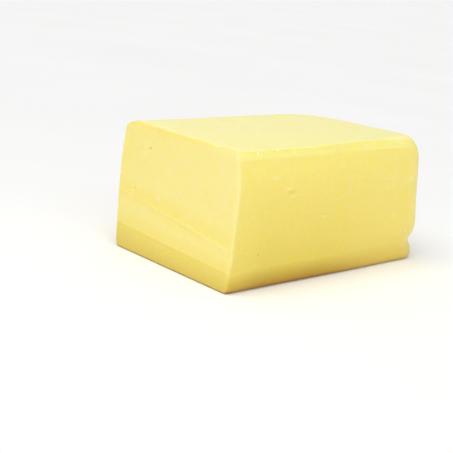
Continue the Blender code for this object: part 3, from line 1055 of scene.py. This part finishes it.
def paint_shares(mesh, box_points, normals):
    """Stores at each point what the cheese's material reads there: how much it has
    of each layer, as a share from 0 to 1. The cut's share is the square of how far
    a point faces it."""
    x, y, z = box_points.T
    facing_cut, on_front = (np.clip(-normals[:, axis], 0.0, 1.0) for axis in (0, 1))
    turned_up = normals[:, 2]
    cut_share = facing_cut**2
    top_share = grown(turned_up, TOP_FACES_OVER)
    slope_shade_share = grown(turned_up, SLOPE_FACES_OVER)
    rim_highlight_line, brow = rim_highlight_and_brow_shade_shares(box_points, facing_cut, turned_up)
    shoulder = (1.0 - grown(HEIGHT - z, SHOULDER_ENDS_OVER)) * (1.0 - grown(x, SHOULDER_FADES_OVER))
    front_edge = np.maximum.reduce([depth * bump(y + WIDTH / 2, reach) for reach, depth in TOP_EDGES])
    crease_shade_drop = between(CREASE_SHADE_DROP, grown(x, CREASE_SHADE_SINKS_OVER))
    marks = mark_depth(box_points, normals)
    dull, brown = foot_shade_shares(box_points, cut_share)
    shares = {
        "cut_share": cut_share,
        "rind_and_shade_share": cut_share * rind_and_shade_shares(box_points),
        "shoulder_highlight_share": shoulder * on_front,
        "slope_shade_share": slope_shade_share,
        "top_share": top_share,
        "top_edge_share": top_share * front_edge,
        "crease_shade_share": CREASE_SHADE_DEPTH * crease_bump(box_points, crease_shade_drop, CREASE_SHADE_WIDTH),
        "rim_highlight_share": rim_highlight_line * (1.0 - slope_shade_share),
        "brow_shade_share": brow,
        "pale_and_highlight_share": pale_and_highlight_shares(box_points, marks, cut_share, top_share, slope_shade_share),
        "dent_shade_share": np.clip(marks / DENT_SHADE_AT, 0.0, 1.0),
        "low_shade_share": dull,
        "brown_bounce_share": brown,
    }
    for name, values in shares.items():
        attribute = mesh.attributes.new(name, "FLOAT", "POINT")
        attribute.data.foreach_set("value", values.astype(np.float32))


def placed_specks(box_points, points):
    """The specks as (place on the finished surface, radius, colour): each lies from
    its nearest lattice point as it does on the box."""
    specks = []
    for side, across, height, radius, color in SPECKS_GLINTS_AND_SHADES:
        on_box = (across, -WIDTH / 2, height) if side == "front" else (-LENGTH / 2, across, height)
        nearest = np.argmin(np.linalg.norm(box_points - on_box, axis=1))
        place = points[nearest] + on_box - box_points[nearest]
        specks.append((tuple(place), radius, SPECK_GLINT_AND_SHADE_COLORS[color]))
    return specks


def add_cheese():
    """The cheese, in place of its solid."""
    box_points, quads = box_lattice(*lattice_lines())
    points = shape_loaf(box_points, quads)
    cheese = mesh_object(NAME, points, quads)
    paint_shares(cheese.data, box_points, point_normals(points, quads))
    cheese.data.materials.append(cheese_material(placed_specks(box_points, points)))
    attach(cheese, "root")
    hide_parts("cheese_block")


# --- The studio ------------------------------------------------------------------

FLOOR_SIZE = 40.0
FLOOR_COLORS = ((0.920, 0.920, 0.915, 1.0), (0.940, 0.940, 0.935, 1.0))
FLOOR_ROUGHNESS = 0.9
# The floor's mottle, a noise read over a range as the cheese's patterns are.
FLOOR_MOTTLE = ((3.0, 2.0, 0.5), (0.3, 0.7))

CAMERA_PLACE = (-0.5763, -0.5150, 0.2206)
CAMERA_AZIMUTH = math.radians(-45.32)
CAMERA_ELEVATION = math.radians(14.81)
CAMERA_ROLL = math.radians(7.01)
CAMERA_SENSOR = 36.0
CAMERA_LENS = 79.47

SKY_COLOR = (1.0, 1.0, 1.0, 1.0)
SKY_STRENGTH = 0.50
SUN_ANGLE = math.radians(55.0)
# Each wide soft sun: (name, direction it comes from, strength).
SUNS = (
    ("key_sun", (-0.38, -0.06, 0.92), 1.52),
    ("fill_sun", (-0.30, -0.90, 0.30), 0.60),
)
# The softbox hangs over the near corner: place, size and power.
SOFTBOX_PLACE = (-0.30, -0.10, 0.50)
SOFTBOX_SIZE = 0.35
SOFTBOX_POWER = 0.35


def floor_material():
    """Pale matt studio floor with a barely visible mottle."""
    floor = Nodes("studio_floor")
    color = floor.mix(floor.pattern(FLOOR_MOTTLE, 0.0, 1.0), *FLOOR_COLORS)
    floor.link(color, floor.surface.inputs["Base Color"])
    floor.surface.inputs["Roughness"].default_value = FLOOR_ROUGHNESS
    return floor.material


def add_floor():
    """A wide floor under the cheese."""
    bpy.ops.mesh.primitive_plane_add(size=FLOOR_SIZE)
    floor = bpy.context.object
    floor.name = "studio_floor"
    floor.data.materials.append(floor_material())


def add_sky():
    """An even white sky."""
    world = bpy.data.worlds.new("studio_sky")
    world.use_nodes = True
    background = world.node_tree.nodes["Background"]
    background.inputs["Color"].default_value = SKY_COLOR
    background.inputs["Strength"].default_value = SKY_STRENGTH
    bpy.context.scene.world = world


def add_light(name, kind, place, **settings):
    """A light at a place, facing the loaf's foot."""
    light = bpy.data.lights.new(name, kind)
    for setting, value in settings.items():
        setattr(light, setting, value)
    lamp = bpy.data.objects.new(name, light)
    lamp.location = place
    lamp.rotation_euler = Vector(place).to_track_quat("Z", "Y").to_euler()
    bpy.context.scene.collection.objects.link(lamp)


def add_lights():
    """Wide soft suns, one high over the cut end and a weaker one in front, and a
    softbox close above, whose light fades down the sides."""
    for name, direction, strength in SUNS:
        add_light(name, "SUN", direction, energy=strength, angle=SUN_ANGLE)
    add_light("softbox", "AREA", SOFTBOX_PLACE, energy=SOFTBOX_POWER, size=SOFTBOX_SIZE)


def add_camera():
    """A long lens looking down on the near corner, rolled a little."""
    camera_data = bpy.data.cameras.new("camera")
    camera_data.sensor_width = CAMERA_SENSOR
    camera_data.lens = CAMERA_LENS
    camera = bpy.data.objects.new("camera", camera_data)
    camera.location = CAMERA_PLACE
    tilt = Euler((math.pi / 2 - CAMERA_ELEVATION, 0.0, CAMERA_AZIMUTH)).to_matrix()
    camera.rotation_euler = (tilt @ Matrix.Rotation(CAMERA_ROLL, 3, "Z")).to_euler()
    bpy.context.scene.collection.objects.link(camera)
    bpy.context.scene.camera = camera


add_cheese()
add_floor()
add_sky()
add_lights()
add_camera()
bpy.context.scene.view_settings.view_transform = "Standard"
